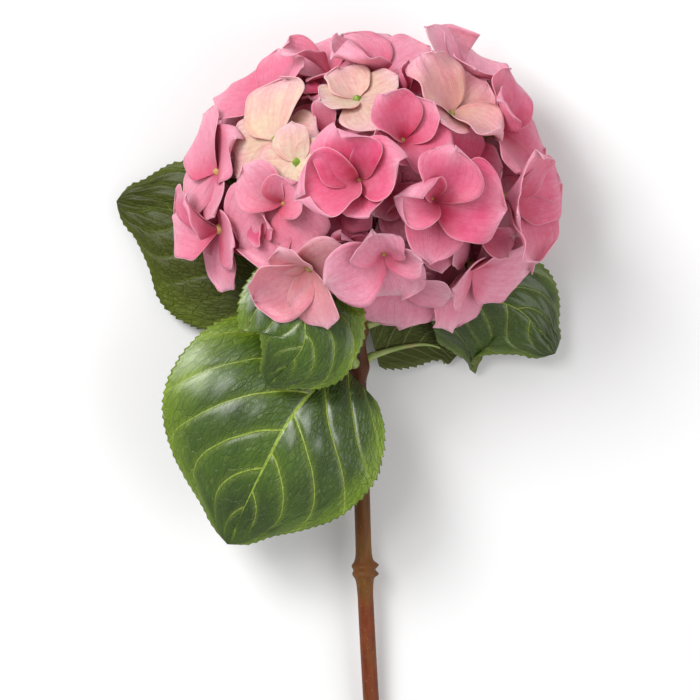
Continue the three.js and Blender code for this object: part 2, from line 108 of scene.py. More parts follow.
def eased(knots, values, at):
    """A smooth curve through values at knots, read at the places asked for."""
    knots, values, at = np.asarray(knots, float), np.asarray(values, float), np.asarray(at, float)
    slopes = np.gradient(values, knots, axis=0)
    i = np.clip(np.searchsorted(knots, at, side="right") - 1, 0, len(knots) - 2)
    step = knots[i + 1] - knots[i]
    t = (at - knots[i]) / step
    shape = (-1,) + (1,) * (values.ndim - 1)
    t, step = t.reshape(shape), step.reshape(shape)
    h00, h10 = 2 * t**3 - 3 * t**2 + 1, t**3 - 2 * t**2 + t
    h01, h11 = -2 * t**3 + 3 * t**2, t**3 - t**2
    return h00 * values[i] + h10 * step * slopes[i] + h01 * values[i + 1] + h11 * step * slopes[i + 1]


def only(obj):
    """Selects one object and makes it active."""
    for other in bpy.context.selected_objects:
        other.select_set(False)
    obj.select_set(True)
    bpy.context.view_layer.objects.active = obj


def grid_start(rows, columns, count=1):
    """Flat grids, added and joined: the start of a sheet, or of several that grow as one."""
    bpy.ops.object.select_all(action="DESELECT")
    grids = []
    for _ in range(count):
        bpy.ops.mesh.primitive_grid_add(
            x_subdivisions=columns - 1, y_subdivisions=rows - 1, location=(0, 0, 0)
        )
        grids.append(bpy.context.object)
    for grid in grids:
        grid.select_set(True)
    if count > 1:
        bpy.ops.object.join()
    return bpy.context.object


def shaped(start, name, points, materials):
    """A copy of a start, with a mesh of its own whose points are moved to their places."""
    obj = start.copy()
    obj.data = start.data.copy()
    obj.name = obj.data.name = name
    obj.data.vertices.foreach_set("co", np.asarray(points, dtype=np.float32).ravel())
    for material in materials:
        obj.data.materials.append(material)
    obj.data.shade_smooth()
    obj.data.update()
    bpy.context.collection.objects.link(obj)
    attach(obj, "root")
    return obj


class Ball:
    """A ball with a number of rings between its poles: the start of the stalks, the buds and the stem."""

    def __init__(self, rings, sides):
        bpy.ops.object.select_all(action="DESELECT")
        bpy.ops.mesh.primitive_uv_sphere_add(segments=sides, ring_count=rings + 1, location=(0, 0, 0))
        self.form = bpy.context.object
        self.rings, self.sides = rings, sides
        x, y, z = np.array([v.co for v in self.form.data.vertices]).T
        ring = np.round((np.arctan2(z, np.hypot(x, y)) / math.pi + 0.5) * (rings + 1)).astype(int) - 1
        side = np.round(np.arctan2(y, x) / TAU * sides).astype(int) % sides
        self.ring = ring
        self.order = ring * sides + side
        self.order[ring < 0] = rings * sides
        self.order[ring == rings] = rings * sides + 1

    def shape(self, name, rings, bottom, top, materials, uvs=None):
        """A copy drawn out through rings of points, from its bottom pole to its top one."""
        points = np.concatenate([*rings, [bottom], [top]])
        obj = shaped(self.form, name, points[self.order], materials)
        if uvs is not None:
            corner_points = np.empty(len(obj.data.loops), dtype=np.int64)
            obj.data.loops.foreach_get("vertex_index", corner_points)
            places = np.asarray(uvs, dtype=np.float32)[self.order][corner_points]
            obj.data.uv_layers["UVMap"].data.foreach_set("uv", places.ravel())
        return obj

    def rod(self, name, path, radii, material):
        """A closed round stalk along a path of points. Its map runs round it and along it."""
        side = np.cross(path[1] - path[0], [0.13, 0.2, 1.0])
        angles = np.arange(self.sides) * TAU / self.sides
        rings, uvs = [], []
        for k, (p, t) in enumerate(zip(path, np.gradient(path, axis=0))):
            t = unit(t)
            side = unit(side - t * side.dot(t))
            over = np.cross(t, side)
            rings.append(p + radii[k] * (np.outer(np.cos(angles), side) + np.outer(np.sin(angles), over)))
            uvs += [(a / TAU, k / (len(path) - 1)) for a in angles]
        uvs += [(0.5, 0), (0.5, 1)]
        return self.shape(name, rings, path[0], path[-1], [material], uvs)


def put_away(*starts):
    """Removes the starts once all has been shaped from them."""
    for start in starts:
        bpy.data.meshes.remove(start.data)


def mark(obj, name, values):
    """A number for each point of a piece, for its material to read."""
    layer = obj.data.attributes.new(name, "FLOAT", "POINT")
    layer.data.foreach_set("value", np.asarray(values, dtype=np.float32).ravel())


def thicken(obj, thickness):
    """Gives a sheet its thickness. Its back takes the next material."""
    only(obj)
    wall = obj.modifiers.new("wall", "SOLIDIFY")
    wall.thickness = thickness
    wall.offset = 0
    wall.use_even_offset = False
    wall.material_offset = 1
    bpy.ops.object.modifier_apply(modifier=wall.name)


def grid_faces(rows, columns):
    """The faces of a flat grid, by the numbers of their corners."""
    faces = []
    for r in range(rows - 1):
        for c in range(columns - 1):
            a = r * columns + c
            faces.append((a, a + 1, a + 1 + columns, a + columns))
    return faces


# ---- Materials ----


class Finish:
    """A material and short ways to add and join its nodes."""

    def __init__(self, name, **sockets):
        self.material = bpy.data.materials.new(name)
        self.material.use_nodes = True
        self.tree = self.material.node_tree
        self.surface = self.tree.nodes["Principled BSDF"]
        for socket, value in sockets.items():
            self.surface.inputs[socket.replace("_", " ")].default_value = value

    def put(self, socket, value):
        """Joins another node's output to a socket, or sets the socket's own value."""
        if isinstance(value, bpy.types.NodeSocket):
            self.tree.links.new(value, socket)
        else:
            socket.default_value = value

    def add(self, kind, out=0, inputs=None, **settings):
        """Adds a node and gives back one of its outputs."""
        node = self.tree.nodes.new(kind)
        for key, value in settings.items():
            setattr(node, key, value)
        for key, value in (inputs or {}).items():
            self.put(node.inputs[key], value)
        return node.outputs[out]

    def math(self, operation, a, b=0.0, c=0.0):
        return self.add("ShaderNodeMath", inputs={0: a, 1: b, 2: c}, operation=operation)

    def mix(self, share, a, b, blend="MIX"):
        node = self.tree.nodes.new("ShaderNodeMix")
        node.data_type, node.blend_type = "RGBA", blend
        for key, value in (("Factor", share), ("A", a), ("B", b)):
            socket = next(s for s in node.inputs if s.name == key and s.enabled)
            self.put(socket, value)
        return next(s for s in node.outputs if s.enabled)

    def ramp(self, share, *stops):
        """stops: pairs of place and colour or grey."""
        node = self.tree.nodes.new("ShaderNodeValToRGB")
        node.color_ramp.interpolation = "EASE"
        while len(node.color_ramp.elements) < len(stops):
            node.color_ramp.elements.new(0.5)
        for element, (place, colour) in zip(node.color_ramp.elements, stops):
            element.position = place
            element.color = colour if isinstance(colour, tuple) else (colour, colour, colour, 1)
        self.put(node.inputs[0], share)
        return node.outputs[0]

    def spread(self, value, low, high, to_low=0.0, to_high=1.0):
        inputs = {0: value, 1: low, 2: high, 3: to_low, 4: to_high}
        return self.add("ShaderNodeMapRange", inputs=inputs)

    def own(self, name):
        """A number that the piece's own points carry."""
        return self.add("ShaderNodeAttribute", out="Fac", attribute_name=name)

    def uv(self):
        """The two coordinates of the piece's own map."""
        parts = self.tree.nodes.new("ShaderNodeSeparateXYZ")
        self.put(parts.inputs[0], self.add("ShaderNodeUVMap", uv_map="UVMap"))
        return parts.outputs[0], parts.outputs[1]

    def place(self):
        return self.add("ShaderNodeTexCoord", out="Object")

    def noise(self, scale, detail=2.0, vector=None, rough=0.5):
        inputs = {"Vector": vector or self.place(), "Scale": scale, "Detail": detail, "Roughness": rough}
        return self.add("ShaderNodeTexNoise", inputs=inputs)

    def pair(self, x, y, z=0.0):
        return self.add("ShaderNodeCombineXYZ", inputs={0: x, 1: y, 2: z})

    def net(self, vector, width):
        """The lines between uneven cells, one unit across."""
        inputs = {"Vector": vector, "Scale": 1.0}
        cells = self.add(
            "ShaderNodeTexVoronoi", out="Distance", inputs=inputs, feature="DISTANCE_TO_EDGE"
        )
        return self.spread(cells, 0.0, width, 1.0, 0.0)

    def bump(self, height, strength, distance):
        inputs = {"Strength": strength, "Distance": distance, "Height": height}
        self.put(self.surface.inputs["Normal"], self.add("ShaderNodeBump", inputs=inputs))


def colour(red, green, blue):
    """A colour given as 0 to 255, as a material takes it."""
    linear = [((c / 255 + 0.055) / 1.055) ** 2.4 if c > 10 else c / 255 / 12.92 for c in (red, green, blue)]
    return (*linear, 1.0)


def sepal_finish(name, rich, pale, rim, cream, shine):
    """Satin sepal: each a tone of its own, deeper where its floret cups as painted shade, and cream where it
    is young. Painted shade makes it deeper at its claw; painted highlight makes it paler out toward its tip
    and in a thin line along its rim.

    rich and pale are each the colours of the claw, which are painted shade, and of the open blade, whose
    palest colour is painted highlight."""
    f = Finish(name, Roughness=shine, Subsurface_Weight=0.22, Subsurface_Scale=0.0015)
    f.surface.inputs["Subsurface Radius"].default_value = (1.0, 0.28, 0.34)
    f.surface.inputs["Sheen Weight"].default_value = 0.06
    f.surface.inputs["Specular IOR Level"].default_value = 0.22
    across, along = f.uv()
    place = f.place()
    wander = f.noise(90, 3, place)
    side = f.math("MULTIPLY_ADD", wander, 0.06, across)
    reach = f.math("MULTIPLY_ADD", wander, 0.24, f.math("SUBTRACT", along, 0.12))
    # Painted shade: the deep claw colours stand in for shade at the floret's heart. Painted highlight: the
    # palest colours out toward the tip stand in for light on the upper blade.
    deep = f.ramp(reach, (0.0, rich[0]), (0.5, rich[1]), (0.95, pale[1]))
    light = f.ramp(reach, (0.0, pale[0]), (0.35, pale[1]), (1.0, pale[2]))
    base = f.mix(f.own("tone_and_cup_shade"), light, deep)
    young = f.ramp(reach, (0.0, cream[0]), (0.3, cream[0]), (1.0, cream[1]))
    base = f.mix(f.own("youth"), base, young)
    streak_place = f.pair(f.math("MULTIPLY", side, 9.0), f.math("MULTIPLY", along, 1.6), f.own("tone_and_cup_shade"))
    streaks = f.spread(f.noise(1.0, 4, streak_place, 0.6), 0.38, 0.68)
    base = f.mix(f.math("MULTIPLY", streaks, 0.32), base, rich[1])
    clouds = f.spread(f.noise(60, 3, place, 0.6), 0.4, 0.7)
    base = f.mix(f.math("MULTIPLY", clouds, 0.35), base, pale[1])
    mottle = f.spread(f.noise(420, 4, place, 0.65), 0.4, 0.7)
    base = f.mix(f.math("MULTIPLY", mottle, 0.16), base, rich[0])
    fan = f.math("SINE", f.math("MULTIPLY", side, 11 * TAU))
    veins = f.spread(fan, 0.8, 1.0)
    net = f.net(f.pair(f.math("MULTIPLY", side, 10.0), f.math("MULTIPLY", along, 8.0)), 0.08)
    lines = f.math("MAXIMUM", f.math("MULTIPLY", veins, 0.8), f.math("MULTIPLY", net, 0.7))
    lines = f.math("MULTIPLY", lines, f.spread(along, 0.05, 0.3))
    base = f.mix(f.math("MULTIPLY", lines, 0.14), base, rich[0])
    # Painted highlight: a thin pale line along the sides and tip, where the sheet's edge catches light.
    side_highlight_line = f.spread(f.math("ABSOLUTE", f.math("SUBTRACT", across, 0.5)), 0.485, 0.5)
    edge = f.math("MAXIMUM", side_highlight_line, f.spread(along, 0.98, 1.0))
    base = f.mix(f.math("MULTIPLY", edge, 0.35), base, rim)
    f.put(f.surface.inputs["Base Color"], base)
    height = f.math("ADD", f.math("MULTIPLY", lines, -0.6), f.math("MULTIPLY", wander, 0.8))
    height = f.math("ADD", height, f.math("MULTIPLY", f.noise(260, 3, place), 0.7))
    f.bump(height, 0.4, 0.0005)
    return f.material


# The claw colours (rich[0], pale[0]) are painted shade; the palest blade colour and the rim colour are
# painted highlight.
sepal_face = sepal_finish(
    "sepal_face",
    rich=(colour(176, 22, 60), colour(216, 78, 120)),
    pale=(colour(206, 88, 120), colour(232, 158, 180), colour(234, 184, 198)),
    rim=colour(240, 206, 214),
    cream=(colour(226, 218, 180), colour(230, 200, 202)),
    shine=0.48,
)
# The claw colours (rich[0], pale[0]) are painted shade; the palest blade colour and the rim colour are
# painted highlight.
sepal_back = sepal_finish(
    "sepal_back",
    rich=(colour(176, 58, 88), colour(206, 98, 130)),
    pale=(colour(202, 112, 136), colour(224, 152, 174), colour(228, 170, 186)),
    rim=colour(240, 190, 204),
    cream=(colour(226, 216, 172), colour(236, 202, 198)),
    shine=0.58,
)


VEINS = 5.0  # side veins in the length of a leaf, on each side
VEIN_SWEEP = 0.5  # how far forward a side vein runs before it meets the margin, as a share of the length
VEIN_BEND = 1.22  # how much it curves as it goes
VEIN_STAGGER = 0.42


def vein_place(f, across, along):
    """The side veins of a leaf: a number that is whole on each of them, and the distance from the midrib."""
    side = f.math("MULTIPLY_ADD", across, 2.0, -1.0)
    off = f.math("ABSOLUTE", side)
    swept = f.math("MULTIPLY_ADD", f.math("POWER", off, VEIN_BEND), -VEIN_SWEEP, along)
    right = f.math("GREATER_THAN", side, 0.0)
    stagger = f.math("MULTIPLY_ADD", right, VEIN_STAGGER, 8.0)
    return f.math("MULTIPLY_ADD", swept, VEINS, stagger), off


def leaf_finish(name, dark, light, margin_green, vein, shine, coat):
    """Leathery leaf: dark between its pale veins, yellower at the margin, with fine wrinkles across.

    Where the piece's own attribute says so, its leaf is duller, and painted shade makes it darker and more
    olive, with dark veins."""
    f = Finish(name, Coat_Roughness=0.26)
    f.surface.inputs["Specular IOR Level"].default_value = 0.25
    across, along = f.uv()
    place = f.place()
    wander = f.math("MULTIPLY_ADD", f.noise(45, 2, place), 0.16, -0.08)
    number, off = vein_place(f, across, along)
    number = f.math("ADD", number, wander)
    between = f.math("FRACT", number)
    nearest = f.math("MINIMUM", between, f.math("SUBTRACT", 1.0, between))
    thin = f.math("MULTIPLY_ADD", off, -0.022, 0.036)
    side_veins = f.math("SUBTRACT", 1.0, f.math("DIVIDE", nearest, thin))
    midrib_width = f.math("MULTIPLY_ADD", along, -0.02, 0.028)
    midrib = f.math("SUBTRACT", 1.0, f.math("DIVIDE", off, midrib_width))
    veins = f.spread(f.math("MAXIMUM", side_veins, midrib), 0.0, 0.5)
    net_place = f.pair(f.math("MULTIPLY", across, 34.0), f.math("MULTIPLY", number, 4.5))
    net = f.net(net_place, 0.09)
    lanes, rows = f.math("MULTIPLY", number, 2.2), f.math("MULTIPLY", along, 3.0)
    wrinkle_place = f.pair(f.math("MULTIPLY", off, 24.0), lanes, rows)
    wrinkles = f.noise(1.0, 3, wrinkle_place, 0.55)
    patches = f.noise(28, 3, place)
    green = f.mix(f.spread(patches, 0.35, 0.68), dark, light)
    toward_rim = f.math("ADD", off, f.math("MULTIPLY_ADD", patches, 0.5, -0.25))
    green = f.mix(f.math("MULTIPLY", f.spread(toward_rim, 0.72, 0.98), 0.75), green, margin_green)
    green = f.mix(f.spread(nearest, 0.0, 0.2, 0.22, 0.0), green, vein)
    green = f.mix(f.math("MULTIPLY", net, 0.09), green, vein)
    green = f.mix(f.math("MULTIPLY", f.spread(wrinkles, 0.45, 0.7), 0.25), green, dark)
    speckle = f.spread(f.noise(900, 2, place), 0.55, 0.75)
    green = f.mix(f.math("MULTIPLY", speckle, 0.14), green, dark)
    green = f.mix(f.math("MULTIPLY", veins, 0.85), green, vein)
    # Painted shade: where the attribute says so, the colour goes to a darker olive with dark veins, for the
    # leaf lying in the head's shade.
    olive = f.mix(wrinkles, colour(52, 56, 4), colour(92, 94, 20))
    olive = f.mix(f.math("MULTIPLY", veins, 0.8), olive, dark)
    dull_and_shaded = f.own("dull_and_shaded")
    f.put(f.surface.inputs["Base Color"], f.mix(f.math("MULTIPLY", dull_and_shaded, 0.7), green, olive))
    gloss = f.spread(f.noise(36, 3, place), 0.35, 0.65, shine - 0.06, shine + 0.16)
    f.put(f.surface.inputs["Roughness"], f.math("MULTIPLY_ADD", dull_and_shaded, 0.15, gloss))
    f.put(f.surface.inputs["Coat Weight"], f.math("MULTIPLY_ADD", dull_and_shaded, -0.8 * coat, coat))
    height = f.math("ADD", f.math("MULTIPLY", net, -0.45), f.math("MULTIPLY", wrinkles, 1.9))
    height = f.math("ADD", height, f.math("MULTIPLY", f.noise(500, 3, place), 0.2))
    f.bump(f.math("ADD", height, f.math("MULTIPLY", veins, 0.4)), 0.8, 0.0012)
    return f.material


leaf_face = leaf_finish(
    "leaf_face",
    dark=colour(42, 66, 4),
    light=colour(74, 104, 12),
    margin_green=colour(122, 150, 22),
    vein=colour(160, 182, 66),
    shine=0.32,
    coat=0.85,
)
leaf_back = leaf_finish(
    "leaf_back",
    dark=colour(80, 88, 42),
    light=colour(102, 112, 58),
    margin_green=colour(116, 126, 70),
    vein=colour(140, 148, 88),
    shine=0.55,
    coat=0.0,
)


def stalk_finish():
    """Satin pale green, streaked along the stalk and blushed pink here and there."""
    f = Finish("green_stalk", Roughness=0.45, Subsurface_Weight=0.1, Subsurface_Scale=0.002)
    across, along = f.uv()
    place = f.place()
    streaks = f.noise(1.0, 3, f.pair(f.math("MULTIPLY", across, 14.0), f.math("MULTIPLY", along, 5.0)))
    base = f.mix(f.spread(streaks, 0.35, 0.7), colour(128, 152, 74), colour(172, 186, 112))
    blush = f.spread(f.noise(70, 2, place), 0.52, 0.72)
    base = f.mix(f.math("MULTIPLY", blush, 0.5), base, colour(172, 116, 96))
    f.put(f.surface.inputs["Base Color"], base)
    f.bump(streaks, 0.3, 0.0003)
    return f.material


def bud_finish():
    """Finely dotted bud skin: green while it is young, honey-coloured later."""
    f = Finish("bud", Roughness=0.4, Subsurface_Weight=0.2, Subsurface_Scale=0.002)
    place = f.place()
    base = f.mix(f.own("youth"), colour(196, 160, 92), colour(122, 160, 44))
    spots = f.spread(f.noise(1500, 2, place), 0.5, 0.7)
    base = f.mix(f.math("MULTIPLY", spots, 0.35), base, colour(92, 96, 26))
    f.put(f.surface.inputs["Base Color"], base)
    f.bump(f.noise(1800, 2, place), 0.4, 0.0002)
    return f.material


def bark_finish():
    """Satin brown bark with long streaks and small raised pores: redder low down, with painted shade that
    darkens it near the leaves.
    """
    f = Finish("bark")
    f.surface.inputs["Specular IOR Level"].default_value = 0.25
    across, along = f.uv()
    place = f.place()
    grain = f.noise(1.0, 5, f.pair(f.math("MULTIPLY", across, 9.0), f.math("MULTIPLY", along, 26.0)), 0.6)
    base = f.ramp(grain, (0.28, colour(66, 28, 10)), (0.5, colour(112, 56, 22)), (0.74, colour(142, 84, 38)))
    patches = f.noise(14, 3, place)
    olive = f.spread(patches, 0.5, 0.64)
    base = f.mix(f.math("MULTIPLY", olive, 0.45), base, colour(104, 88, 30))
    ruddy = f.spread(f.noise(33, 3, place), 0.52, 0.68)
    base = f.mix(f.math("MULTIPLY", ruddy, 0.5), base, colour(112, 34, 16))
    # Painted shade: the stretch of stem under the leaves and the head is darkened.
    shaded = f.math("MULTIPLY", f.spread(along, 0.5, 0.66), f.spread(along, 0.92, 0.8))
    base = f.mix(f.math("MULTIPLY", shaded, 0.62), base, colour(44, 22, 14))
    green = f.spread(along, 0.86, 1.0)
    base = f.mix(green, base, colour(128, 146, 72))
    pore_place = f.pair(f.math("MULTIPLY", across, 12.0), f.math("MULTIPLY", along, 75.0))
    pores = f.add("ShaderNodeTexVoronoi", out="Distance", inputs={"Vector": pore_place, "Scale": 1.0})
    pore = f.spread(pores, 0.1, 0.22, 1.0, 0.0)
    base = f.mix(f.math("MULTIPLY", pore, 0.35), base, colour(158, 112, 66))
    f.put(f.surface.inputs["Base Color"], base)
    f.put(f.surface.inputs["Roughness"], f.spread(grain, 0.3, 0.7, 0.42, 0.6))
    f.bump(f.math("ADD", f.math("MULTIPLY", grain, 0.6), pore), 0.5, 0.0005)
    return f.material


def cut_finish():
    """The oblique cut: a thin green cambium under the bark, pale wood, and the white pith in its middle."""
    f = Finish("cut_wood", Roughness=0.75)
    across, along = f.uv()
    fibres = f.noise(1.0, 4, f.pair(f.math("MULTIPLY", across, 40.0), f.math("MULTIPLY", along, 2.0)), 0.6)
    ring = f.math("MULTIPLY_ADD", fibres, 0.06, f.math("SUBTRACT", along, 0.03))
    pith, wood = colour(236, 230, 208), colour(206, 188, 128)
    cambium, skin = colour(120, 130, 48), colour(84, 50, 26)
    stops = ((0.0, pith), (0.36, pith), (0.44, wood), (0.84, wood), (0.93, cambium), (1.0, skin))
    base = f.ramp(ring, *stops)
    base = f.mix(f.math("MULTIPLY", fibres, 0.4), base, colour(150, 122, 66))
    f.put(f.surface.inputs["Base Color"], base)
    f.bump(fibres, 0.5, 0.0003)
    return f.material


green_stalk, bud_skin, bark, cut_wood = stalk_finish(), bud_finish(), bark_finish(), cut_finish()

# ---- Florets ----

ROWS, COLUMNS = 20, 17  # the points along and across one sepal
SEPAL_WALL = 0.35 * MM
SEPAL_STRETCH = 1.16  # the rounded sepals reach a little past the CAD's flat ones
TIP_CROWDING = 1.5  # the rows lie closer together toward a sepal's round tip
WILDNESS = (1, 1, 0.85, 0.85, 0.7, 0.7, 0.55, 0.55, 0.4, 0.4, 0.25, 0.1, 0)  # tried in turn
GAP_FLORETS = 36
GAP_DIRECTIONS = 1400
GAP_DEPTHS = range(3, 27, 3)  # how far below the dome a gap floret is tried, mm
GAP_LENGTHS = (21, 17, 13)  # and how long its sepals are, mm
BUMP_COST = 8  # a crossed face counts as much as this many mm of depth
YOUNG = {"floret_01": 1.0, "floret_02": 0.95, "floret_06": 0.85, "floret_09": 0.55, "floret_05": 0.3}
PEDICEL_RADIUS = 0.65 * MM
HEART_RISE = 0.8 * MM  # a CAD floret's bud collar stands this far above its middle


def read_floret(node):
    """A CAD floret's middle, the way it faces, its foot and its four sepals."""
    start, rings, end = rings_of(node)
    if np.linalg.norm(start - rings[0].mean(0)) < np.linalg.norm(end - rings[-1].mean(0)):
        start, rings, end = end, rings[::-1], start
    heart = rings[0].mean(0)
    axis = unit(start - heart)
    centre = heart - HEART_RISE * axis
    rim = (rings[2] + rings[3]) / 2
    spokes = rim - centre
    rises = spokes @ axis
    flat = spokes - np.outer(rises, axis)
    out = np.linalg.norm(flat, axis=1)
    ways = flat / out[:, None]
    apart = np.degrees(np.arccos(np.clip((ways * np.roll(ways, -1, axis=0)).sum(1), -1, 1)))
    # a sepal's middle point stands well apart from the points on both sides of it
    middles = [i for i in range(len(ways)) if min(apart[i], apart[i - 1]) > 22]
    if np.cross(ways[0], ways[1]) @ axis < 0:
        middles = middles[::-1]
    sepals = [
        {"way": ways[i], "length": math.hypot(out[i], rises[i]), "cup": math.atan2(rises[i], out[i])}
        for i in middles
    ]
    return {"node": node, "centre": centre, "axis": axis, "foot": rings[6].mean(0), "sepals": sepals}


def sepal_sheet(length, cup, width, blunt, curl, trough, twist, ruffle, waves, phase, lift):
    """One sepal as rows of points out along it, across it and up off the floret's face."""
    v = 1 - (1 - np.linspace(0, 1, ROWS)[:, None]) ** TIP_CROWDING
    u = np.linspace(-1, 1, COLUMNS)[None, :]
    w = v**1.15
    half = 0.5 * width * length * (0.1 + 0.9 * np.clip(1 - np.abs(2 * w - 1) ** blunt, 0, 1) ** (1 / blunt))
    half = half * np.clip((1.02 - v) / 0.12, 0.12, 1) ** 0.5
    half = half * (1 + 0.07 * np.sin(TAU * (1.1 * v + phase)) * np.sign(u))
    x, y = u * half, v * length * (1 - 0.04 * u**2)
    run, turn = np.hypot(x, y), np.arctan2(x, y + 1e-9)
    edge = np.abs(u) ** 1.6 * v
    ripple = ruffle * np.sin(TAU * (waves * v + phase) + 1.7 * np.sign(u)) * edge
    ripple = ripple + 0.4 * ruffle * np.sin(TAU * (waves * 0.6 * u + phase)) * v**3
    slope = cup + curl * (v - 0.45) + trough * (np.abs(u) ** 1.5 - 0.25) * v + twist * u * v + ripple
    around = turn * min(1.45, 1 / max(math.cos(cup), 0.35) ** 0.8)
    out, rise = run * np.cos(slope), run * np.sin(slope) + lift * (0.4 + v)
    return np.stack([out * np.cos(around), out * np.sin(around), rise], axis=-1)


def sepal_form(cup, k, wild):
    """A sepal's own build, by how far it stands up: flat ones roll back, cupped ones flare at the rim.

    wild runs from 1 down to 0, where the sepal keeps to the CAD's plain one."""
    steep = float(np.clip(cup / math.radians(60), 0, 1))
    return {
        "width": 0.96 + wild * chance.uniform(0.16, 0.36),
        "blunt": chance.choice([1.8, 2.0, 2.3, 2.6]),
        "curl": wild * math.radians(chance.uniform(-30, 10) - 34 * steep),
        "trough": wild * math.radians(chance.uniform(-12, 16) * (0.4 + 0.6 * steep) + 6 * steep),
        "twist": wild * math.radians(chance.uniform(-13, 13) * (0.4 + 0.6 * steep)),
        "ruffle": (0.3 + 0.7 * wild) * math.radians(chance.uniform(3, 8)),
        "waves": chance.uniform(0.9, 1.9),
        "phase": chance.uniform(0, 1),
        "lift": (0.55 if k % 2 else -0.35) * MM,
    }


def youth_of(floret, youngest):
    """How cream a floret is: the last to open are, and the ones close beside them a little."""
    if floret["node"] in YOUNG:
        return YOUNG[floret["node"]]
    away = min(np.linalg.norm(floret["centre"] - middle) for middle in youngest)
    return float(np.clip(0.55 - away / (40 * MM), 0, 1))


SHEET_FACES = grid_faces(ROWS, COLUMNS)
OUTER_FACES = SHEET_FACES[6 * (COLUMNS - 1) :]  # those past a sepal's claw


class Crowd:
    """All that stands in a sepal's way: the sheets so far, the CAD leaves, the CAD florets still to come."""

    def __init__(self):
        self.members = {}

    def join(self, name, points, faces):
        tree = BVHTree.FromPolygons([tuple(p) for p in points], faces)
        self.members.setdefault(name, []).append((tree, points.min(0), points.max(0)))

    def leave(self, name):
        self.members.pop(name, None)

    def bumps(self, points, own):
        """How many faces of a sheet run through others'."""
        low, high = points.min(0), points.max(0)
        tree = None
        count = 0
        for name, trees in self.members.items():
            if name == own:
                continue
            for other, other_low, other_high in trees:
                if (low < other_high).all() and (high > other_low).all():
                    tree = tree or BVHTree.FromPolygons([tuple(p) for p in points], SHEET_FACES)
                    count += len(tree.overlap(other))
        return count


def lay_sheet(floret, sepal, stretch, form):
    """The points of one sepal in its place on the floret, kept off the table."""
    across = np.cross(floret["axis"], sepal["way"])
    sheet = sepal_sheet(sepal["length"] * stretch, sepal["cup"], **form)
    placed = floret["centre"] + sheet[..., 0:1] * sepal["way"] + sheet[..., 1:2] * across
    placed = placed + sheet[..., 2:3] * floret["axis"]
    placed[..., 2] = np.maximum(placed[..., 2], 0.5 * MM)
    return placed.reshape(-1, 3)


def best_sheet(floret, sepal, k, crowd):
    """A sepal as lively as its neighbours leave room for."""
    tries = []
    for wild in WILDNESS:
        form = sepal_form(sepal["cup"], k, wild)
        points = lay_sheet(floret, sepal, 1 + wild * (SEPAL_STRETCH - 1), form)
        bumps = crowd.bumps(points, floret["node"])
        if bumps == 0:
            return points
        tries.append((bumps, len(tries), points))
    return min(tries)[2]


def make_sepals(floret, youth, tone_and_cup_shade, sheets):
    """A floret's four sepals as one piece: they grow from one claw."""
    youths, tones_and_cup_shades = [], []
    for _ in sheets:
        youths.append(np.full(ROWS * COLUMNS, youth * chance.uniform(0.7, 1.0)))
        tones_and_cup_shades.append(np.full(ROWS * COLUMNS, np.clip(tone_and_cup_shade + chance.uniform(-0.25, 0.25), 0, 1)))
    name = f"{floret['node']}_sepals"
    sepals = shaped(four_sepals, name, np.concatenate(sheets), [sepal_face, sepal_back])
    mark(sepals, "youth", np.concatenate(youths))
    mark(sepals, "tone_and_cup_shade", np.concatenate(tones_and_cup_shades))
    thicken(sepals, SEPAL_WALL)
    return sepals


def make_floret(floret, youngest):
    """A floret's sepals, bud and pedicel. Young ones are cream; cupped ones take a deeper pink, painted shade
    for their hollows.
    """
    label = floret["node"]
    youth = youth_of(floret, youngest)
    middle, foot, axis = floret["centre"], floret["foot"], floret["axis"]
    steepest = np.mean([sepal["cup"] for sepal in floret["sepals"]])
    # Painted shade: the more a floret's sepals cup, the deeper its pink. The rest of its tone differs at
    # random.
    tone_and_cup_shade = 0.08 + 0.55 * float(np.clip(steepest / math.radians(50), 0, 1)) + chance.uniform(-0.25, 0.3)
    crowd.leave(label)
    sheets = []
    for k, sepal in enumerate(floret["sepals"]):
        sheets.append(best_sheet(floret, sepal, k, crowd))
        crowd.join(f"{label}_outer", sheets[-1], OUTER_FACES)
    crowd.leave(f"{label}_outer")
    for points in sheets:
        crowd.join(label, points, SHEET_FACES)
    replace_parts(make_sepals(floret, youth, tone_and_cup_shade, sheets), label)
    t = np.linspace(0, 1, pedicel_ball.rings)[:, None]
    knee = middle - axis * 7 * MM
    path = (1 - t) ** 2 * foot + 2 * t * (1 - t) * knee + t**2 * middle
    radii = PEDICEL_RADIUS * (1 + 0.5 * t[:, 0] ** 4)
    pedicel = pedicel_ball.rod(f"{label}_pedicel", path, radii, green_stalk)
    make_bud(f"{label}_bud", middle, axis, floret["sepals"][0]["way"], youth)


def make_bud(name, middle, axis, way, youth):
    """The small closed true flower in a floret's middle: a four-lobed bud on a short neck."""
    size = chance.uniform(1.5, 2.2) * MM
    other = np.cross(axis, way)
    rings = []
    angles = np.arange(bud_ball.sides) * TAU / bud_ball.sides
    for share in np.linspace(0, 1, bud_ball.rings):
        lobes = 1 + 0.13 * np.cos(4 * angles) * math.sin(math.pi * share) ** 0.6
        radius = size * (0.45 * (1 - share) + math.sin(math.pi * min(1, 0.12 + 0.88 * share)) ** 0.7) * lobes
        radius = radius * (0.05 if share == 1 else 1)
        height = size * (-0.6 + 2.3 * share)
        spokes = np.outer(radius * np.cos(angles), way) + np.outer(radius * np.sin(angles), other)
        rings.append(middle + height * axis + spokes)
    foot, tip = middle - 0.6 * size * axis, middle + 1.62 * size * axis
    bud = bud_ball.shape(name, rings, foot, tip, [bud_skin])
    mark(bud, "youth", np.full(len(bud.data.vertices), youth))


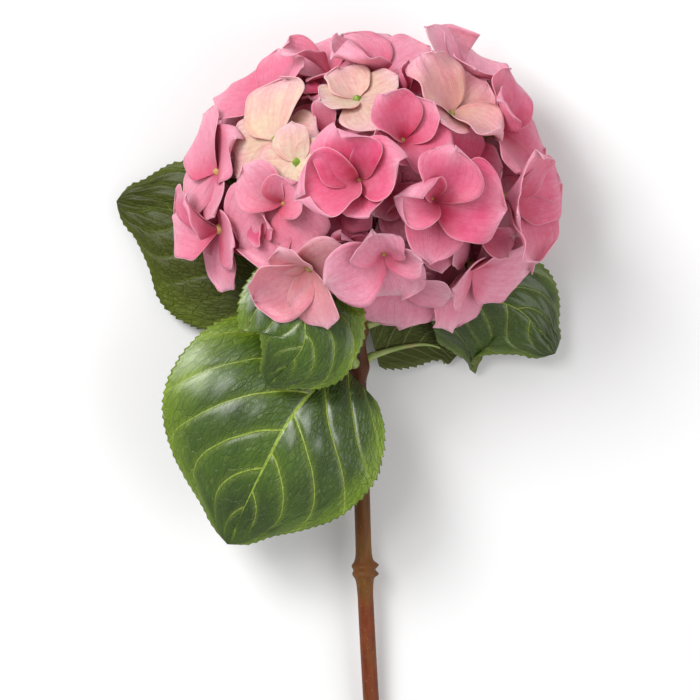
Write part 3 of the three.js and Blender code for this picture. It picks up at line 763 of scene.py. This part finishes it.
four_sepals = grid_start(ROWS, COLUMNS, count=4)
four_sepals.data.flip_normals()
pedicel_ball = Ball(rings=9, sides=8)
bud_ball = Ball(rings=9, sides=16)
florets = [read_floret(n) for n in sorted(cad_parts) if n.startswith("floret")]
youngest = [f["centre"] for f in florets if YOUNG.get(f["node"], 0) > 0.8]
crowd = Crowd()
for node, solid in sorted(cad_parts.items()):
    if node.startswith(("floret", "leaf")):
        corners = np.array([solid.matrix_world @ v.co for v in solid.data.vertices])
        crowd.join(node, corners, [tuple(p.vertices) for p in solid.data.polygons])
for floret in florets:
    make_floret(floret, youngest)


def gap_ways(count, ways):
    """The directions from the head's heart that lie furthest from any floret, one after another."""
    # directions spread evenly over a ball, without those that look down at the table or along the stem
    k = np.arange(GAP_DIRECTIONS) + 0.5
    height, angle = 1 - 2 * k / GAP_DIRECTIONS, k * math.pi * (3 - math.sqrt(5))
    flat = np.sqrt(1 - height**2)
    ball = np.stack([flat * np.cos(angle), flat * np.sin(angle), height], axis=1)
    ball = ball[(ball[:, 2] > -0.25) & (ball[:, 1] > -0.75)]
    taken = list(ways)
    for _ in range(count):
        nearness = (ball @ np.array(taken).T).max(1)
        taken.append(ball[int(nearness.argmin())])
        yield taken[-1]


def make_gap_florets(count):
    """Smaller florets deep in the gaps of the dome, each as far out as its neighbours leave room for."""
    centres = np.array([f["centre"] for f in florets])
    heart = (centres.min(0) + centres.max(0)) / 2
    reach = np.linalg.norm(centres - heart, axis=1)
    ways = (centres - heart) / reach[:, None]
    for n, way in enumerate(gap_ways(count, ways)):
        near = np.argsort(-(ways @ way))[:3]
        side = unit(np.cross(way, [0.3, 0.1, 1.0]))
        other = np.cross(way, side)
        label = f"gap_floret_{n + 1:02d}"
        tries = []
        for depth in GAP_DEPTHS:
            for length in GAP_LENGTHS:
                turn = chance.uniform(0, TAU)
                angles = [turn + quarter * TAU / 4 for quarter in range(4)]
                sepals = [
                    {
                        "way": math.cos(a) * side + math.sin(a) * other,
                        "length": length * MM * chance.uniform(0.9, 1.1),
                        "cup": math.radians(chance.uniform(18, 50)),
                    }
                    for a in angles
                ]
                middle = heart + way * (reach[near].mean() - depth * MM)
                floret = {"node": label, "centre": middle, "axis": way, "sepals": sepals}
                forms = [sepal_form(sepal["cup"], k, 0.6) for k, sepal in enumerate(sepals)]
                sheets = [lay_sheet(floret, sepal, 1.0, form) for sepal, form in zip(sepals, forms)]
                bumps = sum(crowd.bumps(points, label) for points in sheets)
                cost = BUMP_COST * bumps + 2 * depth + GAP_LENGTHS[0] - length
                tries.append((cost, len(tries), floret, sheets))
        _, _, floret, sheets = min(tries)
        for points in sheets:
            crowd.join(label, points, SHEET_FACES)
        make_sepals(floret, youth_of(floret, youngest) * 0.6, 0.8, sheets)


make_gap_florets(GAP_FLORETS)
put_away(four_sepals, pedicel_ball.form, bud_ball.form)

# ---- Flower rays ----

RAY_REACH = 2 * MM


def make_ray(node):
    """A smooth stalk along a CAD ray, run on a little into the hub it grows from."""
    start, rings, end = rings_of(node)
    middles = np.array([r.mean(0) for r in rings])
    girths = np.array([np.linalg.norm(r - m, axis=1).mean() for r, m in zip(rings, middles)])
    if girths[0] > girths[-1]:
        middles, girths = middles[::-1], girths[::-1]
    middles[0] += RAY_REACH * unit(middles[0] - middles[1])
    far = runs(middles)
    at = np.linspace(0, far[-1], ray_ball.rings)
    path = eased(far, middles, at)
    radii = np.interp(at, far, girths)
    ray = ray_ball.rod(f"{node}_stalk", path, radii, green_stalk)
    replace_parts(ray, node)


ray_ball = Ball(rings=26, sides=14)
for node in sorted(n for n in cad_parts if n.startswith("flower_ray")):
    make_ray(node)
put_away(ray_ball.form)

# ---- Leaves ----

LEAF_ROWS, LEAF_COLUMNS = 150, 97
LEAF_WALL = 0.5 * MM
TOOTH_PITCH, TOOTH_DEPTH = 3.6 * MM, 1.2 * MM
# Painted shade: the leaf in the head's shade is also painted a darker olive, besides being made duller.
DULL_AND_SHADED_LEAVES = {"leaf_left": 1.0, "leaf_right": 0.15}  # the leaf in the head's shade is duller
ROOT_REACH = 3.2 * MM  # a leaf stalk runs on this far past the CAD clearance, to its node on the stem
LEAF_CLEARANCE = 0.6 * MM  # no blade comes nearer the table than this
MIDRIB_DROP = 0.9 * MM
QUILT_DEPTH = 0.75 * MM
GROOVE_DEPTH = 0.35 * MM


def read_leaf(node):
    """A CAD leaf's petiole path and its blade's middle sheet: rows from base to tip, nine points across."""
    start, rings, end = rings_of(node)
    spans = [np.linalg.norm(r[:8] - r[8:], axis=1) for r in rings]
    if spans[0].min() / spans[0].max() < spans[-1].min() / spans[-1].max():
        start, rings, end, spans = end, rings[::-1], start, spans[::-1]
    widest = max(range(len(rings)), key=lambda k: spans[k].max())
    margin = int(np.argmax(spans[widest]))
    sheet = []
    for ring in rings[3:]:
        sheet.append([(ring[(margin + j) % 16] + ring[(margin - j) % 16]) / 2 for j in range(9)])
    sheet.append([end] * 9)
    petiole = [r.mean(0) for r in rings[:3]]
    return np.array(petiole), np.array(sheet)


def leaf_relief(s, t, length):
    """The blade's quilting: swells between the sunken side veins, with uneven ridges across them."""
    off = np.abs(t)
    number = (s - VEIN_SWEEP * off**VEIN_BEND) * VEINS + VEIN_STAGGER * (t > 0) + 8
    between = number % 1
    nearest = np.minimum(between, 1 - between)
    swell = np.sin(math.pi * between) ** 0.8
    lane = np.floor(number)
    ridges = np.sin(TAU * (off * 4.3 + 0.37 * lane + 0.12 * np.sin(9 * s + 2 * lane)))
    middle = 1 - np.exp(-((off / 0.07) ** 2))
    rim = 1 - off**6
    tip = np.clip(np.minimum(s / 0.06, (1 - s) / 0.12), 0, 1)
    quilt = QUILT_DEPTH * swell * (0.8 + 0.2 * ridges) * middle * rim
    groove = GROOVE_DEPTH * np.exp(-((nearest / 0.06) ** 2)) * rim
    keel = 1.5 * GROOVE_DEPTH * np.exp(-((off / 0.025) ** 2))
    return (quilt - groove - keel) * tip * min(1.0, length / (70 * MM))


def toothed(sheet, s, t):
    """A blade's sheet with forward-pointing teeth along both its margins."""
    for side, column in ((-1, 0), (1, -1)):
        tooth = ((runs(sheet[:, column]) / TOOTH_PITCH) % 1) ** 1.4 * TOOTH_DEPTH
        tooth = tooth * np.clip((1 - s) / 0.04, 0, 1)
        outward = sheet[:, column] - sheet[:, column - side * 4]
        outward /= np.maximum(np.linalg.norm(outward, axis=1, keepdims=True), 1e-9)
        weight = np.clip(side * t, 0, 1) ** 14
        sheet = sheet + weight[None, :, None] * (tooth[:, None] * outward)[:, None, :]
    return sheet


def make_leaf(node, faces_down):
    """A leaf: its toothed and quilted blade, and the stalk under it."""
    petiole, net = read_leaf(node)
    far = runs(net[:, 4])
    length = far[-1]
    s = np.linspace(0, 1, LEAF_ROWS)
    t = np.linspace(-1, 1, LEAF_COLUMNS)
    rows = eased(far / length, net, s)
    sheet = eased(np.linspace(-1, 1, 9), rows.transpose(1, 0, 2), t).transpose(1, 0, 2)
    sheet = toothed(sheet, s, t)
    down, over = np.gradient(sheet, axis=0), np.gradient(sheet, axis=1)
    normal = np.cross(over, down)
    normal /= np.maximum(np.linalg.norm(normal, axis=2, keepdims=True), 1e-12)
    facing = 1 if (normal[..., 2].mean() > 0) != faces_down else -1
    normal *= facing
    sheet = sheet + leaf_relief(s[:, None], t[None, :], length)[..., None] * normal
    sheet[..., 2] = np.maximum(sheet[..., 2], LEAF_CLEARANCE)
    blade = shaped(flat_leaf, f"{node}_blade", sheet, [leaf_face, leaf_back])
    if facing < 0:
        blade.data.flip_normals()
    mark(blade, "dull_and_shaded", np.full(LEAF_ROWS * LEAF_COLUMNS, DULL_AND_SHADED_LEAVES.get(node, 0.0)))
    thicken(blade, LEAF_WALL)
    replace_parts(blade, node)
    middle = LEAF_COLUMNS // 2
    make_leaf_stalk(node, petiole, sheet[:, middle] - normal[:, middle] * MIDRIB_DROP)


def make_leaf_stalk(node, petiole, under):
    """A leaf's stalk, which runs on under the blade as the raised back of the midrib."""
    root = petiole[0] + ROOT_REACH * unit(petiole[0] - petiole[1])
    path = np.concatenate([[root], petiole, under[4 : int(LEAF_ROWS * 0.8) : 8]])
    radii = np.concatenate([[2.7, 2.3, 1.9, 1.8], np.linspace(1.5, 0.45, len(path) - 4)]) * MM
    run = runs(path)
    at = np.linspace(0, run[-1], stalk_ball.rings)
    stalk = stalk_ball.rod(f"{node}_stalk", eased(run, path, at), np.interp(at, run, radii), green_stalk)


flat_leaf = grid_start(LEAF_ROWS, LEAF_COLUMNS)
stalk_ball = Ball(rings=60, sides=12)
for node in sorted(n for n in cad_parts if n.startswith("leaf")):
    make_leaf(node, faces_down=node.endswith("under"))
put_away(flat_leaf, stalk_ball.form)

# ---- Stem ----


STEM_ROWS, STEM_SIDES = 480, 24
SCAR_DEPTH = 1.1 * MM
CUT_SHARES = (0.2, 0.4, 0.6, 0.8, 0.97)  # the rings of the cut face, as shares of its radius


def node_scars(girths, at, angles):
    """Two crescent leaf scars, one over each side of the bare node, and the uneven rims around it."""
    low = at < 0.6 * at[-1]
    node = at[int(np.argmax(np.where(low, girths, 0)))]
    d = (at - node)[:, None] / MM
    a = angles[None, :]
    sides = 0.35 + 0.65 * np.cos(a) ** 2
    uneven = 1 + 0.35 * np.sin(5 * a + 1.0) + 0.25 * np.sin(3 * a + 2.2)
    upper = np.exp(-(((d - 2.2) / 1.2) ** 2))
    lower = 0.9 * np.exp(-(((d + 2.0) / 1.1) ** 2)) * (1 + 0.3 * np.sin(4 * a))
    waist = -0.35 * np.exp(-((d / 0.9) ** 2))
    return SCAR_DEPTH * ((upper + lower) * sides * uneven + waist)


def make_stem():
    """The stem through its CAD rings, its bare node scarred, its cut end closed. Gives back the hub's top."""
    start, rings, end = rings_of("stem")
    if np.linalg.norm(start - rings[0].mean(0)) > np.linalg.norm(end - rings[-1].mean(0)):
        start, rings, end = end, rings[::-1], start
    rings = np.array(rings)
    middles = rings.mean(1)
    far = runs(middles)
    at = np.linspace(0, far[-1], STEM_ROWS)
    body = eased(far, rings, at)
    wrapped = np.concatenate([body, body[:, :1]], axis=1).transpose(1, 0, 2)
    steps = np.arange(STEM_SIDES) * len(rings[0]) / STEM_SIDES
    fine = eased(np.arange(len(rings[0]) + 1), wrapped, steps).transpose(1, 0, 2)
    centres = fine.mean(1, keepdims=True)
    spokes = fine - centres
    girths = np.linalg.norm(spokes, axis=2)
    angles = np.arctan2(spokes[..., 2], spokes[..., 0])[STEM_ROWS // 2]
    scars = node_scars(girths.mean(1), at, angles)
    fine = fine + spokes / girths[..., None] * scars[..., None]
    fine[..., 2] = np.maximum(fine[..., 2], 0.05 * MM)
    # the cut face: rings that grow from the middle of the stem's first one
    heart = fine[0].mean(0)
    face = [heart + (fine[0] - heart) * share for share in CUT_SHARES]
    turn = np.arange(STEM_SIDES) / STEM_SIDES
    uvs = [np.stack([turn, np.full(STEM_SIDES, share)], axis=-1) for share in CUT_SHARES]
    uvs += [np.stack(np.meshgrid(turn, at / far[-1]), axis=-1).reshape(-1, 2)]
    uvs = np.concatenate([*uvs, [[0.5, 0.0]], [[0.5, 1.0]]])
    ball = Ball(len(CUT_SHARES) + STEM_ROWS, STEM_SIDES)
    stem = ball.shape("stem_bark", [*face, *fine], heart, end, [bark, cut_wood], uvs)
    for polygon in stem.data.polygons:
        if min(ball.ring[i] for i in polygon.vertices) < len(CUT_SHARES):
            polygon.material_index = 1
    put_away(ball.form)
    only(stem)
    bpy.ops.object.mode_set(mode="EDIT")
    bpy.ops.mesh.select_all(action="SELECT")
    bpy.ops.mesh.normals_make_consistent(inside=False)
    bpy.ops.object.mode_set(mode="OBJECT")
    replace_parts(stem, "stem")
    return end


hub_top = make_stem()

# ---- Table, light and camera ----

bpy.ops.object.select_all(action="DESELECT")
bpy.ops.mesh.primitive_plane_add(size=8, location=(0, 0, 0))
floor = bpy.context.object
floor.name = "table_top"
paper = Finish("white_table", Roughness=0.8)
paper.surface.inputs["Base Color"].default_value = (0.86, 0.86, 0.86, 1)
floor.data.materials.append(paper.material)
floor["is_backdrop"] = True

FRAME_WIDTH = 0.305
CAMERA_HEIGHT = 1.5
MID_LEVEL = 0.07
AIM_LEFT, AIM_BELOW = 5.6 * MM, 47.6 * MM  # where the camera looks, from the top of the hub
aim = Vector((hub_top[0] - AIM_LEFT, hub_top[1] - AIM_BELOW, MID_LEVEL))
camera_data = bpy.data.cameras.new("camera")
camera_data.lens = camera_data.sensor_width * CAMERA_HEIGHT / FRAME_WIDTH
camera = bpy.data.objects.new("camera", camera_data)
camera.location = aim + Vector((0, 0, CAMERA_HEIGHT))
bpy.context.collection.objects.link(camera)
bpy.context.scene.camera = camera


def soft_light(name, spot, power, size):
    """A square soft box that looks at the flower from this far off, m."""
    data = bpy.data.lights.new(name, "AREA")
    data.energy, data.size = power, size
    lamp = bpy.data.objects.new(name, data)
    lamp.location = aim + Vector(spot)
    lamp.rotation_euler = (-Vector(spot)).to_track_quat("-Z", "Y").to_euler()
    bpy.context.collection.objects.link(lamp)


soft_light("key", (-0.7, 0.65, 0.95), 11.5, 0.5)
soft_light("sheen", (-0.46, 0.3, 1.2), 4.5, 0.45)
soft_light("fill", (0.9, -0.3, 0.9), 5.5, 0.9)
world = bpy.data.worlds.new("studio")
world.use_nodes = True
world.node_tree.nodes["Background"].inputs[0].default_value = (1, 1, 1, 1)
world.node_tree.nodes["Background"].inputs[1].default_value = 0.46
bpy.context.scene.world = world
bpy.context.scene.view_settings.view_transform = "Standard"

boxes = {"cad": CAD_BOX, "visual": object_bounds()}
{k: [list(corner) for corner in box] for k, box in boxes.items()}
